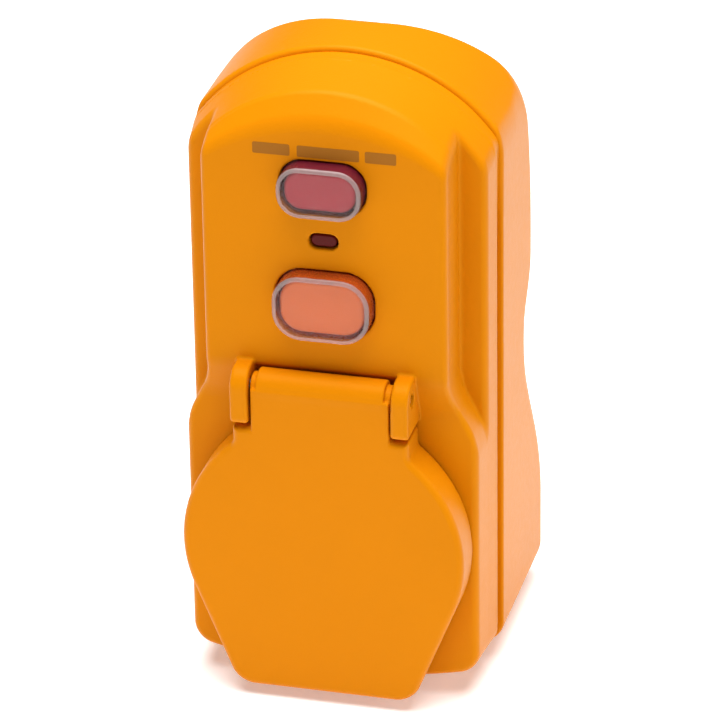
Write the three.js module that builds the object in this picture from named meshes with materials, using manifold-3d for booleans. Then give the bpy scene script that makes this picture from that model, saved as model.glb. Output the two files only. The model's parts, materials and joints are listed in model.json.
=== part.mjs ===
// Plug-in residual-current safety adaptor: a two-shell plastic case that plugs into an earthed wall
// outlet, with a covered socket, a trip mechanism and TEST and RESET buttons on its front.
// Millimetres. X is right seen from the front, Y points into the wall, Z is up. The origin is the
// centre of the plug's end face, between its pins.
import * as THREE from "three";
import { mergeVertices } from "three/addons/utils/BufferGeometryUtils.js";
import Module from "manifold-3d";

const wasm = await Module();
wasm.setup();

// ---------------------------------------------------------------- driving dimensions

const gap = 0.35; // clearance between pieces that touch
const wall = 2.4; // thickness of the shells

// The front shell's outline at four depths, from the button panel back to its rim.
const frontStations = [
  { y: -75.9, halfWidth: 28.5, apex: 88.1, archRadius: 39.6, foot: -31.4 },
  { y: -71.9, halfWidth: 28.9, apex: 93.1, archRadius: 32.4, foot: -31.6 },
  { y: -65.9, halfWidth: 29.2, apex: 93.9, archRadius: 33.9, foot: -32.1 },
  { y: -59.2, halfWidth: 29.7, apex: 94.8, archRadius: 36.3, foot: -32.7 },
];
const frontRim = frontStations[3];
const rearRim = { y: -57.0, halfWidth: 30.3, apex: 95.8, archRadius: 36.8, foot: -33.2 };
const tongue = { collar: 0.7, outer: 1.4, inner: 2.9, end: -53.2 }; // insets of the lip between the shells
const foot = { radius: 105, corner: 3.5 }; // the case's shallow curved underside and its corners

const panelFace = -75.9; // front of the button panel
const socketFace = -72.7; // front of the wide lower part
const ledgeFace = -65.9; // ledge beside the panel
const panelHalfWidth = 23.8;
const shoulder = { low: 22.4, high: 32.5 }; // where the panel widens to the full case
const slope = { low: 28.5, high: 36.4 }; // where the lower face rises to the panel

const wallFace = -17; // rear plane that meets the wall plate
const upperBack = -26.7; // rear plane behind the buttons
const waist = { y: -33, z: 28 }; // finger grip in the back
const backEdge = 7; // rounding of the rear edges

const flap = {
  radius: 28,
  front: -81.4,
  back: -73.1,
  plate: 2.2,
  skirt: 2.0,
  chinAngle: -0.381,
  chinSlope: 0.4,
  chin: -31.2,
  tabHalfWidth: 17.36,
  tabTop: 25.7,
  barrelHalfLength: 13.6,
};
const hinge = { y: -78.0, z: 33.6, ear: 4.1, barrel: 3.4, pin: 1.1, bore: 1.45, springRoom: 2.5 };
const ears = { inner: 14.03, outer: 17.52, foot: 26.6 };

const socket = { bore: 19.5, outer: 21.5, front: -74.7, depth: 17.5, floor: 3.2, pinHole: 3.2 };
const plug = { radius: 18.5, inner: 16, face: 4, front: -36, pin: 2.4, pinLength: 19 };
const pinOffset = 9.5; // half of the 19 mm pin spacing
const socketEarth = { offset: 18.4, halfThick: 0.45, halfWidth: 2.6, front: -72.7, strap: -53.3 };
const plugEarth = { offset: 17.7, halfThick: 0.4, halfWidth: 2.8, front: -37.4, nose: -1.2 };
const sleeve = { outer: 4.2, front: -53.7, back: -44 }; // sprung contact round a socket pin

const reset = { z: 51, halfWidth: 9.5, halfHeight: 6.65, corner: 5.6, stem: 3, stemEnd: -60.3 };
const test = { z: 75.1, halfWidth: 8.2, halfHeight: 5.15, corner: 4.6, stem: 2, stemEnd: -59.9 };
const boot = {
  proud: 3.5,
  skin: 1.0,
  rim: 1.15,
  flange: 1.5,
  flangeFront: -73.1,
  flangeBack: -72.1,
};
const buttonBack = -71.4; // underside of the button caps
const lens = { z: 64, halfWidth: 2.9, halfHeight: 1.6 };

const guide = { front: -64.5, back: -63, halfWidth: 11.4, low: 43.8, high: 82.2 };
const board = { front: -52, back: -50.4, halfWidth: 17.5, low: 36, high: 86 };
const transformer = { z: 66, outer: 10, inner: 4.6, front: -49.9, back: -41.9 };
const carrier = { front: -60, back: -56.1, halfWidth: 9.6, low: 48, high: 55.5 };
const solenoid = { y: -58, low: 37.5, high: 43.2, halfWidth: 5.5, sheet: 1, bobbin: 2.1, winding: 3.9 };
const fixedContact = { front: -52.9, back: -52.3 }; // the contacts on the board's front
const bridge = { front: -55.8, back: -55.2, low: 50.4, high: 53.6 }; // the moving contacts

const caseScrews = [
  { x: -22.8, z: -22 },
  { x: 22.8, z: -22 },
  { x: -22.5, z: 66 },
  { x: 22.5, z: 66 },
];
const screwSeat = -46;
const boardScrews = [
  { x: -14.5, z: 83 },
  { x: 14.5, z: 40 },
];

// ---------------------------------------------------------------- solid helpers

function solid(geometry) {
  const bare = geometry.index ? geometry.toNonIndexed() : geometry.clone();
  bare.deleteAttribute("normal");
  bare.deleteAttribute("uv");
  const merged = mergeVertices(bare, 1e-4);
  return new wasm.Manifold(
    new wasm.Mesh({
      numProp: 3,
      vertProperties: new Float32Array(merged.attributes.position.array),
      triVerts: new Uint32Array(merged.index.array),
    }),
  );
}

const join = (first, ...rest) => rest.reduce((whole, part) => whole.add(part), first);
const cut = (first, ...tools) => tools.reduce((whole, tool) => whole.subtract(tool), first);
const common = (first, ...rest) => rest.reduce((whole, part) => whole.intersect(part), first);

// A block between two corners.
function block([x0, y0, z0], [x1, y1, z1]) {
  const box = new THREE.BoxGeometry(x1 - x0, y1 - y0, z1 - z0);
  box.translate((x0 + x1) / 2, (y0 + y1) / 2, (z0 + z1) / 2);
  return solid(box);
}

// An outline drawn in the XZ plane, extruded from y0 to y1.
function plateGeometry(shape, y0, y1, options = {}) {
  const plate = new THREE.ExtrudeGeometry(shape, {
    depth: y1 - y0,
    bevelEnabled: false,
    curveSegments: 4,
    ...options,
  });
  plate.rotateX(Math.PI / 2);
  plate.translate(0, y1, 0);
  return plate;
}
const plate = (shape, y0, y1, options) => solid(plateGeometry(shape, y0, y1, options));

// An outline drawn in the YZ plane, extruded from x0 to x1.
function slab(shape, x0, x1, options = {}) {
  const bar = new THREE.ExtrudeGeometry(shape, {
    depth: x1 - x0,
    bevelEnabled: false,
    curveSegments: 4,
    ...options,
  });
  const toYZ = new THREE.Matrix4().makeBasis(
    new THREE.Vector3(0, 1, 0),
    new THREE.Vector3(0, 0, 1),
    new THREE.Vector3(1, 0, 0),
  );
  bar.applyMatrix4(toYZ);
  bar.translate(x0, 0, 0);
  return solid(bar);
}

// A profile of [radius, along] points turned about a line parallel to Y, X or Z.
function turned(profile, { x = 0, y = 0, z = 0, along = "y", sides = 20 } = {}) {
  const points = profile.map(([radius, step]) => new THREE.Vector2(radius, step));
  const lathe = new THREE.LatheGeometry(points, sides);
  if (along === "x") lathe.rotateZ(-Math.PI / 2);
  if (along === "z") lathe.rotateX(Math.PI / 2);
  lathe.translate(x, y, z);
  return solid(lathe);
}

// A closed cylinder and a closed ring, from step a to step b along their axis.
const rod = (radius, a, b, place) =>
  turned([[0, a], [radius, a], [radius, b], [0, b]], place);
const ring = (inner, outer, a, b, place) =>
  turned([[inner, a], [outer, a], [outer, b], [inner, b], [inner, a]], place);

// A wire or bar of round section through hand-placed points.
function wire(points, radius, { steps = 12, sides = 6, tension = 0.4 } = {}) {
  const path = new THREE.CatmullRomCurve3(
    points.map((p) => new THREE.Vector3(...p)),
    false,
    "catmullrom",
    tension,
  );
  return tube(path, radius, steps, sides);
}

function tube(path, radius, steps, sides) {
  const section = new THREE.Shape();
  section.absarc(0, 0, radius, 0, 2 * Math.PI, false);
  const geometry = new THREE.ExtrudeGeometry(section, {
    steps,
    extrudePath: path,
    bevelEnabled: false,
    curveSegments: sides / 2,
  });
  return solid(geometry);
}

// The centre line of a coil spring whose axis is parallel to Y, X or Z.
class Helix extends THREE.Curve {
  constructor(centre, radius, length, turns, along) {
    super();
    Object.assign(this, { centre, radius, length, turns, along });
  }
  getPoint(t, target = new THREE.Vector3()) {
    const angle = 2 * Math.PI * this.turns * t;
    const [p, q] = [this.radius * Math.cos(angle), this.radius * Math.sin(angle)];
    const r = this.length * t;
    const place = { x: [r, p, q], y: [p, r, q], z: [p, q, r] }[this.along];
    return target.set(...place).add(this.centre);
  }
}

function coilSpring(centre, radius, length, turns, wireRadius, along = "y") {
  const line = new Helix(new THREE.Vector3(...centre), radius, length, turns, along);
  return tube(line, wireRadius, turns * 8, 4);
}

// A rectangle with round corners, centred on (0, z).
function roundedRectangle(halfWidth, halfHeight, corner, z = 0) {
  const [w, h, c] = [halfWidth - corner, halfHeight - corner, corner];
  const shape = new THREE.Shape();
  shape.absarc(w, z + h, c, 0, Math.PI / 2, false);
  shape.absarc(-w, z + h, c, Math.PI / 2, Math.PI, false);
  shape.absarc(-w, z - h, c, Math.PI, 1.5 * Math.PI, false);
  shape.absarc(w, z - h, c, 1.5 * Math.PI, 2 * Math.PI, false);
  return shape;
}

// A polygon through points.
const polygon = (points) => new THREE.Shape(points.map(([a, b]) => new THREE.Vector2(a, b)));

// ---------------------------------------------------------------- case outlines

// The case seen from the front: an arched top, straight sides and a shallow curved foot with
// rounded corners, drawn inset by a wall's thickness.
function caseOutline(station, inset = 0) {
  const w = station.halfWidth - inset;
  const archCentre = station.apex - station.archRadius;
  const archRadius = station.archRadius - inset;
  const spring = Math.acos(w / archRadius);
  const corner = Math.max(foot.corner - inset, 0.8);
  const footCentre = station.foot + foot.radius;
  const footRadius = foot.radius - inset;
  const cornerX = w - corner;
  const cornerZ = footCentre - Math.sqrt((footRadius - corner) ** 2 - cornerX ** 2);
  const lean = Math.atan2(cornerX, footCentre - cornerZ);
  const shape = new THREE.Shape();
  shape.absarc(0, archCentre, archRadius, spring, Math.PI - spring, false);
  shape.absarc(-cornerX, cornerZ, corner, Math.PI, 1.5 * Math.PI - lean, false);
  shape.absarc(0, footCentre, footRadius, 1.5 * Math.PI - lean, 1.5 * Math.PI + lean, false);
  shape.absarc(cornerX, cornerZ, corner, 1.5 * Math.PI + lean, 2 * Math.PI, false);
  return shape;
}

// The front shell's drafted block: one outline extruded in as many steps as there are stations,
// then each step moved to its own station's depth, width, arch and foot.
function frontEnvelope(inset) {
  const last = frontStations.length - 1;
  const shape = caseOutline(frontRim, inset);
  const geometry = plateGeometry(shape, 0, last, { steps: last });
  const spring = frontRim.apex - frontRim.archRadius;
  const position = geometry.attributes.position;
  for (let i = 0; i < position.count; i += 1) {
    const station = frontStations[Math.round(position.getY(i))];
    const width = station.halfWidth - inset;
    const x = (position.getX(i) * width) / (frontRim.halfWidth - inset);
    let z = position.getZ(i);
    if (z > spring) {
      const radius = station.archRadius - inset;
      z = station.apex - station.archRadius + Math.sqrt(radius ** 2 - x ** 2);
    } else {
      z += station.foot - frontRim.foot;
    }
    position.setXYZ(i, x, station.y, z);
  }
  return solid(geometry);
}

// The front body: the envelope, stepped back at the ledge beside the panel and at the lower face.
// With an inset it is the hollow inside the shell.
function frontBody(inset = 0) {
  const far = 150;
  const side = polygon([
    [panelFace + inset, far],
    [panelFace + inset, slope.high],
    [socketFace + inset, slope.low],
    [socketFace + inset, -far],
    [0, -far],
    [0, far],
  ]);
  const w = panelHalfWidth - inset;
  const panel = polygon([
    [-far, -far],
    [far, -far],
    [far, shoulder.low - inset],
    [frontRim.halfWidth - 0.8 - inset, shoulder.low - inset],
    [w, shoulder.high - inset],
    [w, far],
    [-w, far],
    [-w, shoulder.high - inset],
    [-(frontRim.halfWidth - 0.8 - inset), shoulder.low - inset],
    [-far, shoulder.low - inset],
  ]);
  const skirt = block([-far, ledgeFace + inset, -far], [far, 0, far]);
  return common(
    frontEnvelope(inset),
    slab(side, -far, far),
    join(plate(panel, -far, 0), skirt),
  );
}

// The rear shell's side profile: a long curve over the top, the finger grip and the wall plane.
function backProfile() {
  const top = { y: -45.9, end: 49 };
  const shape = new THREE.Shape();
  shape.moveTo(rearRim.y - 20, rearRim.apex);
  shape.lineTo(rearRim.y - 20, -60);
  shape.lineTo(wallFace, -60);
  shape.lineTo(wallFace, -14);
  shape.bezierCurveTo(wallFace, 0, -27, 11, -31.2, 21);
  shape.bezierCurveTo(-33, 25.5, waist.y - 0.4, waist.z + 2, -31.4, 33);
  shape.bezierCurveTo(-29.5, 36.5, upperBack, 39.5, upperBack, 45);
  shape.lineTo(upperBack, top.end);
  const reach = rearRim.apex - top.end;
  const depth = upperBack - top.y;
  for (let step = 1; step <= 7; step += 1) {
    const angle = (step / 7) * (Math.PI / 2);
    shape.lineTo(top.y + depth * Math.cos(angle), top.end + reach * Math.sin(angle));
  }
  return shape;
}

// The rear body: the side profile with rounded rear edges, inside the case outline.
function rearBody(inset = 0) {
  const rounding = backEdge - inset;
  const side = slab(
    backProfile(),
    -(rearRim.halfWidth - inset) + rounding,
    rearRim.halfWidth - inset - rounding,
    {
      curveSegments: 4,
      bevelEnabled: true,
      bevelSegments: 3,
      bevelThickness: rounding,
      bevelSize: rounding,
      bevelOffset: -rounding - inset,
    },
  );
  const heel = 3.5; // rounding of the lower rear edge
  const low = rearRim.foot + inset;
  const lift = polygon([
    [-100, low - 1],
    [wallFace - heel - inset, low - 1],
    [wallFace - heel - inset, low],
    [wallFace - 0.3 * heel - inset, low + 0.3 * heel],
    [wallFace - inset, low + heel],
    [wallFace - inset + 1, low + 60],
    [wallFace - inset + 1, 150],
    [-100, 150],
  ]);
  return common(side, plate(caseOutline(rearRim, inset), rearRim.y, 10), slab(lift, -60, 60));
}

// ---------------------------------------------------------------- shells

// A round screw boss between two depths, and the straight hole down it.
const boss = ({ x, z }, radius, y0, y1) => rod(radius, y0, y1, { x, z, sides: 12 });

function hingeEars() {
  const shape = new THREE.Shape();
  shape.moveTo(socketFace + 1, ears.foot);
  shape.lineTo(hinge.y - hinge.ear + 0.8, ears.foot);
  shape.lineTo(hinge.y - hinge.ear, ears.foot + 0.8);
  shape.lineTo(hinge.y - hinge.ear, hinge.z);
  shape.absarc(hinge.y, hinge.z, hinge.ear, Math.PI, Math.PI / 2, true);
  shape.lineTo(panelFace + 1, hinge.z + hinge.ear);
  shape.lineTo(panelFace + 1, hinge.z);
  return [
    slab(shape, ears.inner, ears.outer),
    slab(shape, -ears.outer, -ears.inner),
  ];
}

// An opening through the button panel, larger than its button or lens by a clearance.
const panelOpening = ({ halfWidth, halfHeight, corner, z }, clearance) =>
  plate(
    roundedRectangle(halfWidth + clearance, halfHeight + clearance, corner + clearance, z),
    panelFace - 1,
    panelFace + wall + 1,
  );

// The tongue's own band, kept when the mouth behind the shell's rim is cleared.
function tongueBand() {
  return cut(
    plate(caseOutline(frontRim, wall - 0.01), frontRim.y - 2, -40),
    plate(caseOutline(frontRim, tongue.inner), frontRim.y - 3, -39),
  );
}

// The front shell: hollow, with a tongue round its rim, screw posts, hinge ears and openings.
function frontShell() {
  const hollow = common(
    frontBody(wall),
    block([-60, -100, -60], [60, frontRim.y - 0.01, 120]),
  );
  const mouth = plate(caseOutline(frontRim, wall), frontRim.y - 0.5, frontRim.y + 8);
  const lip = cut(
    join(
      plate(caseOutline(frontRim, tongue.outer), frontRim.y - 0.5, tongue.end),
      plate(caseOutline(frontRim, tongue.collar), frontRim.y - 0.5, rearRim.y - gap),
    ),
    plate(caseOutline(frontRim, tongue.inner), frontRim.y - 1, tongue.end + 1),
  );
  const shell = cut(join(frontBody(), lip), hollow, cut(mouth, tongueBand()));
  const posts = [
    ...caseScrews.map((at) => boss(at, 3.6, at.z < 0 ? socketFace + 1 : ledgeFace + 1, -52.4)),
    ...boardScrews.map((at) => boss(at, 2.6, panelFace + 1, board.front - gap)),
  ];
  const pilots = [
    ...caseScrews.map((at) => boss(at, 1.75, -64, -50)),
    ...boardScrews.map((at) => boss(at, 1.35, -62, -50)),
  ];
  const bore = rod(hinge.bore, -20, 20, { y: hinge.y, z: hinge.z, along: "x", sides: 12 });
  const knuckleRoom = rod(hinge.barrel + 0.5, -ears.inner, ears.inner, {
    y: hinge.y,
    z: hinge.z,
    along: "x",
  });
  return cut(
    join(shell, ...posts.map((post) => common(post, frontEnvelope(0.5))), ...hingeEars()),
    ...pilots,
    bore,
    knuckleRoom,
    rod(socket.outer + gap, socketFace - 2, socketFace + wall + 2, { sides: 32 }),
    panelOpening(reset, 0.3),
    panelOpening(test, 0.3),
    panelOpening({ ...lens, corner: lens.halfHeight }, 0),
  );
}

function rearShell() {
  const seat = -51.6; // where the wall thickens behind the seal
  const hollow = common(rearBody(wall), block([-60, seat - 0.01, -60], [60, 20, 120]));
  const mouth = plate(caseOutline(rearRim, 1.6), rearRim.y - 1, seat);
  const posts = caseScrews.map((at) => common(boss(at, 4.3, seat, 0), rearBody(0.6)));
  const holes = caseScrews.flatMap((at) => [
    boss(at, 3.2, screwSeat, 10),
    boss(at, 1.75, -60, 0),
  ]);
  return cut(
    join(cut(rearBody(), hollow, mouth), ...posts),
    ...holes,
    rod(plug.radius + gap, -60, 10, { sides: 32 }),
  );
}

function bodySeal() {
  return cut(
    plate(caseOutline(frontRim, 1.5), -52.85, -51.95),
    plate(caseOutline(frontRim, 2.8), -53, -51),
  );
}

// ---------------------------------------------------------------- flap and hinge

// The flap seen from the front: a disc with a flat chin and a tab up to the hinge.
function flapOutline(inset = 0) {
  const r = flap.radius - inset;
  const tab = flap.tabHalfWidth - inset;
  const start = Math.acos(tab / r);
  const chinX = r * Math.cos(flap.chinAngle);
  const chinZ = r * Math.sin(flap.chinAngle);
  const chin = flap.chin + inset;
  const cornerX = chinX - flap.chinSlope * (chinZ - chin);
  const easing = 3.2;
  const shape = new THREE.Shape();
  shape.moveTo(tab, flap.tabTop - inset);
  shape.lineTo(-tab, flap.tabTop - inset);
  shape.absarc(0, 0, r, Math.PI - start, Math.PI - flap.chinAngle, false);
  shape.lineTo(-cornerX - flap.chinSlope * easing, chin + easing);
  shape.quadraticCurveTo(-cornerX, chin, -cornerX + easing, chin - 0.1);
  shape.lineTo(cornerX - easing, chin - 0.1);
  shape.quadraticCurveTo(cornerX, chin, cornerX + flap.chinSlope * easing, chin + easing);
  shape.absarc(0, 0, r, 2 * Math.PI + flap.chinAngle, 2 * Math.PI + start, false);
  return shape;
}

function socketFlap() {
  const hollow = plate(flapOutline(flap.skirt), flap.front + flap.plate, flap.back + 1);
  const pan = cut(plate(flapOutline(), flap.front, flap.back), hollow);
  const web = block(
    [-flap.barrelHalfLength, flap.front, flap.tabTop - 1],
    [flap.barrelHalfLength, flap.front + flap.plate, hinge.z],
  );
  const axis = { y: hinge.y, z: hinge.z, along: "x" };
  const barrel = rod(hinge.barrel, -flap.barrelHalfLength, flap.barrelHalfLength, axis);
  const springRoom = join(
    rod(hinge.springRoom, -5, 5, axis),
    block([-5, hinge.y, hinge.z - hinge.springRoom], [5, hinge.y + 5, hinge.z + 2]),
  );
  return cut(
    join(pan, web, barrel),
    rod(hinge.bore, -20, 20, { ...axis, sides: 12 }),
    springRoom,
  );
}

const hingePin = () =>
  rod(hinge.pin, -ears.outer + 0.5, ears.outer - 0.5, {
    y: hinge.y,
    z: hinge.z,
    along: "x",
    sides: 12,
  });

const flapSpring = () =>
  coilSpring([-4.2, hinge.y, hinge.z], hinge.pin + 0.7, 8.4, 8, 0.28, "x");

const flapSeal = () =>
  ring(socket.bore - 0.4, socket.outer - 0.3, flap.front + flap.plate + 0.3, socket.front - 0.4, {
    sides: 24,
  });

// ---------------------------------------------------------------- socket side

function socketInsert() {
  const floor = socket.front + socket.depth;
  const back = floor + socket.floor;
  const flange = { radius: 23.4, front: socketFace + wall + 0.3, thick: 1.5 };
  const cup = turned(
    [
      [0, floor],
      [socket.bore, floor],
      [socket.bore, socket.front],
      [socket.outer, socket.front],
      [socket.outer, flange.front],
      [flange.radius, flange.front],
      [flange.radius, flange.front + flange.thick],
      [socket.outer, flange.front + flange.thick],
      [socket.outer, back],
      [0, back],
    ],
    { sides: 32 },
  );
  const key = (side) =>
    block(
      [side > 0 ? 17.4 : -20, socket.front + 1, -2.2],
      [side > 0 ? 20 : -17.4, floor + 1, 2.2],
    );
  const pinHole = (side) => rod(socket.pinHole, floor - 1, back + 1, { x: side * pinOffset });
  const slot = (side) => {
    const z = side * socketEarth.offset;
    return block([-3.2, floor - 1, z - 0.9], [3.2, back + 1, z + 0.9]);
  };
  return cut(join(cup, key(1), key(-1)), pinHole(1), pinHole(-1), slot(1), slot(-1));
}

// A sprung sleeve that grips one pin, with a solder tag on top.
function socketContact(side) {
  const { outer, front, back } = sleeve;
  const place = { x: side * pinOffset };
  const tube = ring(socket.pinHole, outer, front, back, place);
  const tag = block(
    [side * pinOffset - 1.8, -49.5, 3.9],
    [side * pinOffset + 1.8, back, 5.1],
  );
  const slit = block(
    [side * pinOffset - 0.4, front - 1, -6],
    [side * pinOffset + 0.4, back - 3, 0],
  );
  return cut(join(tube, tag), slit);
}

// The earth clip: two arms inside the socket's wall and a strap behind its floor.
function earthClip() {
  const { offset, halfThick, halfWidth, front, strap } = socketEarth;
  const reach = offset + halfThick;
  const arm = (side) =>
    block(
      [-halfWidth, front, side * offset - halfThick],
      [halfWidth, strap + 2 * halfThick, side * offset + halfThick],
    );
  const bar = block([-halfWidth, strap, -reach], [halfWidth, strap + 2 * halfThick, reach]);
  return join(arm(1), arm(-1), bar);
}

// ---------------------------------------------------------------- plug side

function plugInsert() {
  const flange = { radius: 22, thick: 1.8 };
  const cup = turned(
    [
      [0, -plug.face],
      [plug.inner, -plug.face],
      [plug.inner, plug.front],
      [flange.radius, plug.front],
      [flange.radius, plug.front + flange.thick],
      [plug.radius, plug.front + flange.thick],
      [plug.radius, -1],
      [plug.radius - 1, 0],
      [0, 0],
    ],
    { sides: 32 },
  );
  const pinHole = (side) => rod(plug.pin + 0.3, -plug.face - 1, 1, { x: side * pinOffset });
  const earthNotch = (side) =>
    block(
      [-3.6, plug.front - 1, side > 0 ? 16.9 : -19],
      [3.6, 1, side > 0 ? 19 : -16.9],
    );
  const keyway = (side) =>
    block(
      [side > 0 ? 16.9 : -19, -17, -2.6],
      [side > 0 ? 19 : -16.9, 1, 2.6],
    );
  return cut(
    cup,
    pinHole(1),
    pinHole(-1),
    earthNotch(1),
    earthNotch(-1),
    keyway(1),
    keyway(-1),
  );
}

// A round pin with a rounded nose, a shoulder behind the plug's face and a solder tail.
function plugPin(side) {
  const shoulder = -plug.face - 0.3;
  const r = plug.pin;
  return turned(
    [
      [0, -14.4],
      [1.6, -14.4],
      [1.6, shoulder - 3],
      [3.6, shoulder - 3],
      [3.6, shoulder],
      [r, shoulder],
      [r, plug.pinLength - 2.4],
      [0.87 * r, plug.pinLength - 1.2],
      [0.5 * r, plug.pinLength - 0.3],
      [0, plug.pinLength],
    ],
    { x: side * pinOffset, sides: 20 },
  );
}

function plugEarthClip() {
  const { offset, halfThick, halfWidth, front, nose } = plugEarth;
  const reach = offset + halfThick;
  const arm = (side) =>
    block(
      [-halfWidth, front, side * offset - halfThick],
      [halfWidth, nose, side * offset + halfThick],
    );
  const bar = block([-halfWidth, front, -reach], [halfWidth, plug.front - gap, reach]);
  return join(arm(1), arm(-1), bar);
}

// The braid that joins the two earth clips.
const earthLink = () =>
  wire([[0, -52.0, -10], [0, -49, -10.5], [0, -43, -10.5], [0, -37.9, -10]], 1.2, { steps: 6 });

// ---------------------------------------------------------------- circuit

function supplyBar(side) {
  return wire(
    [
      [side * pinOffset, -14.9, 0],
      [side * pinOffset, -26, 0],
      [side * pinOffset, -39, 2],
      [side * pinOffset, -41, 9],
      [side * 9, -41, 30],
      [side * 5, -38.5, 48],
      [side * 2.3, -38.3, 60],
      [side * 2.3, -40.3, 65],
      [side * 2.3, -44, 66],
      [side * 2.3, -53.2, 66],
    ],
    1.2,
    { steps: 20 },
  );
}

const supplyContact = (side) =>
  block(
    [side * 2.5 - 1.5, fixedContact.front, 50],
    [side * 2.5 + 1.5, fixedContact.back, 64.4],
  );

const loadContact = (side) =>
  block(
    [side * 7.5 - 1.5, fixedContact.front, 34],
    [side * 7.5 + 1.5, fixedContact.back, 54],
  );

const movingContact = (side) =>
  block(
    [side * 5.1 - 3.9, bridge.front, bridge.low],
    [side * 5.1 + 3.9, bridge.back, bridge.high],
  );

const loadBar = (side) =>
  wire(
    [
      [side * 7.5, -52.7, 33.6],
      [side * 8, -52, 27],
      [side * pinOffset, -49, 16],
      [side * pinOffset, -47, 5.5],
    ],
    1.1,
    { steps: 8 },
  );

function mainBoard() {
  const outline = roundedRectangle(
    board.halfWidth,
    (board.high - board.low) / 2,
    3,
    (board.high + board.low) / 2,
  );
  return cut(
    plate(outline, board.front, board.back),
    rod(5.2, board.front - 1, board.back + 1, { z: transformer.z }),
    ...boardScrews.map((at) => boss(at, 1.35, board.front - 1, board.back + 1)),
  );
}

const currentTransformer = () =>
  ring(transformer.inner, transformer.outer, transformer.front, transformer.back, {
    z: transformer.z,
  });

function solenoidFrame() {
  const { y, low, high, halfWidth, sheet } = solenoid;
  return cut(
    block([-halfWidth, y - 4.6, low], [halfWidth, y + 4.2, high]),
    block([-halfWidth + sheet, y - 5, low + sheet], [halfWidth - sheet, y + 5, high - sheet]),
    rod(1.9, low - 1, high + 1, { y, along: "z" }),
  );
}

function solenoidCoil() {
  const { y, low, high, sheet, bobbin, winding } = solenoid;
  return ring(bobbin, winding, low + sheet + 0.3, high - sheet - 0.3, { y, along: "z" });
}

const tripPlunger = () =>
  turned(
    [[0, 36.6], [1.5, 36.6], [1.5, 46.2], [2.5, 46.2], [2.5, 46.9], [1.2, 47.2], [0, 47.6]],
    { y: solenoid.y, along: "z", sides: 12 },
  );

const plungerSpring = () =>
  coilSpring([0, solenoid.y, solenoid.high + 0.45], 2.0, 2.0, 3, 0.22, "z");

function contactCarrier() {
  return join(
    block(
      [-carrier.halfWidth, carrier.front, carrier.low],
      [carrier.halfWidth, carrier.back, carrier.high],
    ),
    block([-3, carrier.front, carrier.high - 0.5], [3, carrier.back, carrier.high + 1.5]),
  );
}

const testLeaf = () =>
  join(
    block([-2, -58.1, 72], [2, -57.6, 82]),
    block([-2, -58.1, 81.5], [2, board.front - 0.3, 82]),
  );

const varistor = () => ring(0.6, 4.4, -49.9, -46.6, { x: -12.4, z: 50, sides: 20 });

const capacitor = () => block([8.2, -49.9, 45.5], [15.6, -43.4, 52.5]);

const controlChip = () => block([9.6, -54.2, 64], [15.2, -52.4, 71]);

const rectifier = () => block([-15.4, -54.6, 60], [-10.6, -52.4, 66]);

const dropperResistor = () =>
  turned([[0, 70], [1.9, 70.4], [2.1, 72], [2.1, 79], [1.9, 80.6], [0, 81]], {
    x: 12.6,
    y: -47.5,
    along: "z",
    sides: 12,
  });

// ---------------------------------------------------------------- buttons and indicator

// A clear silicone cap that stands proud of the panel, clamped by its flange behind it.
function buttonBoot(button) {
  const { halfWidth, halfHeight, corner, z } = button;
  const outline = (grow) =>
    roundedRectangle(halfWidth + grow, halfHeight + grow, corner + grow, z);
  const front = panelFace - boot.proud;
  const back = boot.flangeBack;
  return cut(
    join(
      plate(outline(0), front + 0.6, back),
      plate(outline(-0.5), front, front + 1),
      plate(outline(boot.flange), boot.flangeFront, back),
    ),
    plate(outline(-boot.rim), front + boot.skin, back + 1),
  );
}

function button({ halfWidth, halfHeight, corner, z, stem, stemEnd }) {
  const inset = boot.rim + 0.3;
  const front = panelFace - boot.proud + boot.skin + gap;
  const outline = (grow) =>
    roundedRectangle(
      halfWidth - inset + grow,
      halfHeight - inset + grow,
      corner - inset + grow,
      z,
    );
  return join(
    plate(outline(0), front + 0.7, buttonBack),
    plate(outline(-0.6), front, front + 1),
    rod(stem, buttonBack - 0.5, stemEnd, { z, sides: 12 }),
  );
}

const buttonSpring = ({ z, stem }) =>
  coilSpring([0, buttonBack + 0.5, z], stem + 0.85, guide.front - buttonBack - 1.05, 4, 0.3);

// The bracket that the button stems slide in, on four legs from the board.
function buttonGuide() {
  const { front, back, halfWidth, low, high } = guide;
  const leg = (x, z) => block([x, front, z], [x + 1.5, board.front - gap, z + 1.5]);
  return cut(
    join(
      block([-halfWidth, front, low], [halfWidth, back, high]),
      leg(-halfWidth, low),
      leg(halfWidth - 1.5, low),
      leg(-halfWidth, high - 1.5),
      leg(halfWidth - 1.5, high - 1.5),
    ),
    rod(reset.stem + gap, front - 1, back + 1, { z: reset.z, sides: 12 }),
    rod(test.stem + gap, front - 1, back + 1, { z: test.z, sides: 12 }),
    rod(1.9, front - 1, back + 1, { z: lens.z, sides: 12 }),
  );
}

function indicatorLens() {
  const { halfWidth, halfHeight, z } = lens;
  const outline = (grow) =>
    roundedRectangle(halfWidth + grow, halfHeight + grow, halfHeight + grow, z);
  return join(
    plate(outline(-0.35), panelFace + 0.5, -72.6),
    plate(outline(0.9), panelFace + wall + 0.3, -72.2),
  );
}

function indicatorLamp() {
  const profile = [
    [0, -71.8],
    [0.9, -71.6],
    [1.5, -70.8],
    [1.5, -66],
    [1.7, -66],
    [1.7, -65.2],
    [0, -65.2],
  ];
  return turned(profile, { z: lens.z, sides: 12 });
}

// ---------------------------------------------------------------- screws

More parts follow.
